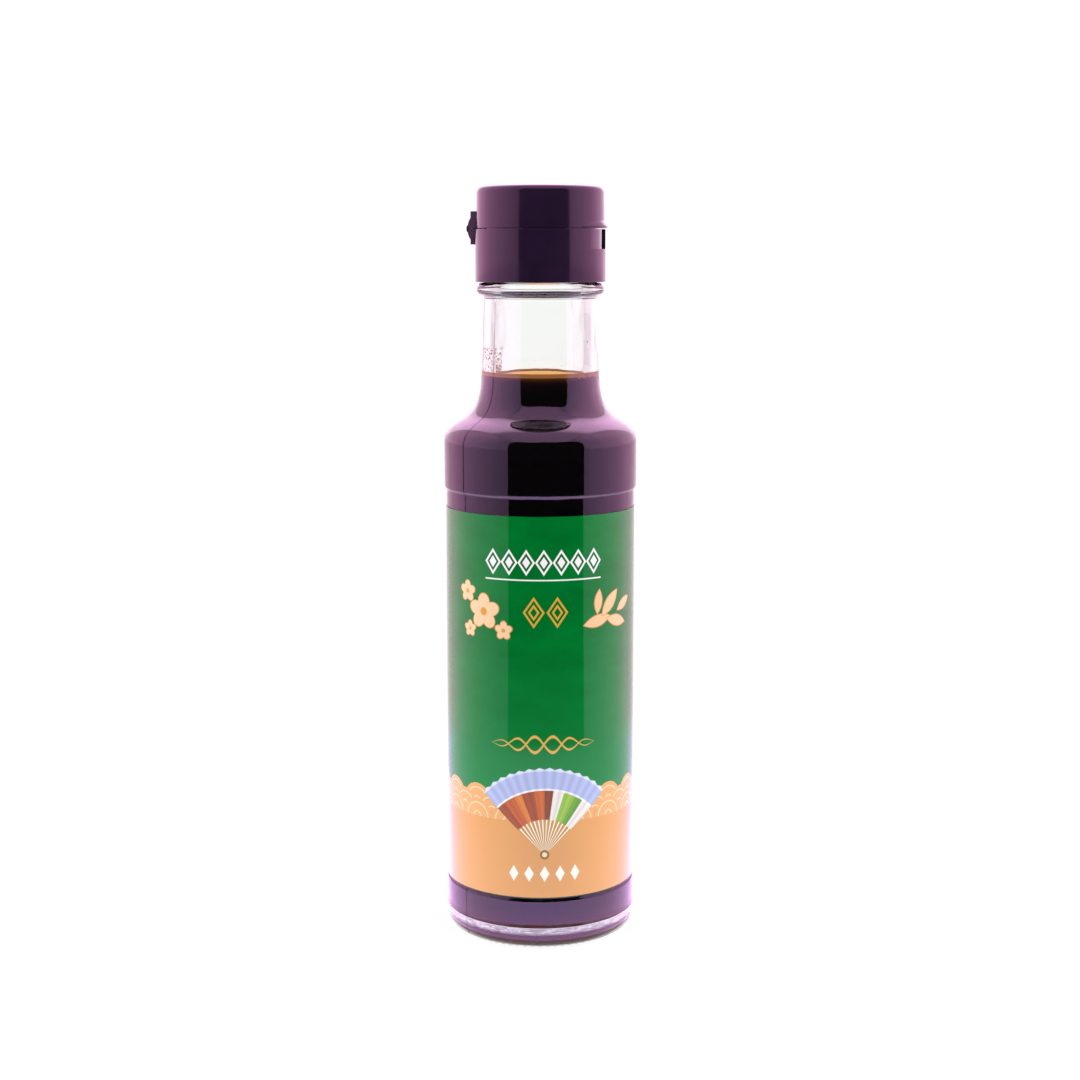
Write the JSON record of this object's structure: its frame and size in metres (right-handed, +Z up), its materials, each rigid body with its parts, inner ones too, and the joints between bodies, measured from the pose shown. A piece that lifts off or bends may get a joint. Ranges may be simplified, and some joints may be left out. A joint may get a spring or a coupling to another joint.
{
  "type": "soy sauce bottle",
  "caption": "Small round clear-glass sauce bottle filled with dark soy sauce, with a wrap-round label and a dark flip-top closure on its neck.",
  "frame": {"origin": "middle of the base, on the surface that the bottle stands on", "axes": "+Z up along the bottle's axis; the label's front faces -Y; the thumb tab points mostly along +X"},
  "size_m": [0.045, 0.045, 0.175],
  "materials": {
    "bottle_glass": "clear flint container glass, fire-polished, with mould seams and a knurled bearing ring",
    "sauce": "near-black brewed sauce, orange-brown where it is thin",
    "label_film": "glossy printed film, green field over a peach field",
    "closure_plastic": "glossy moulded polypropylene, very dark aubergine"
  },
  "bodies": {
    "bottle": {"glass_bottle": "bottle_glass", "soy_sauce": "sauce", "label": "label_film", "cap_base": "closure_plastic", "hinge_strap": "closure_plastic", "hinge_film_left": "closure_plastic", "hinge_film_right": "closure_plastic"},
    "lid": {"cap_lid": "closure_plastic"}
  },
  "joints": [
    {"name": "lid_hinge", "type": "hinge", "parent": "bottle", "child": "lid", "pos_m": [-0.0155, 0.00504, 0.1653], "axis": [-0.309, -0.9511, 0], "range_deg": [0, 125], "deforming": ["hinge_strap", "hinge_film_left", "hinge_film_right"]}
  ]
}
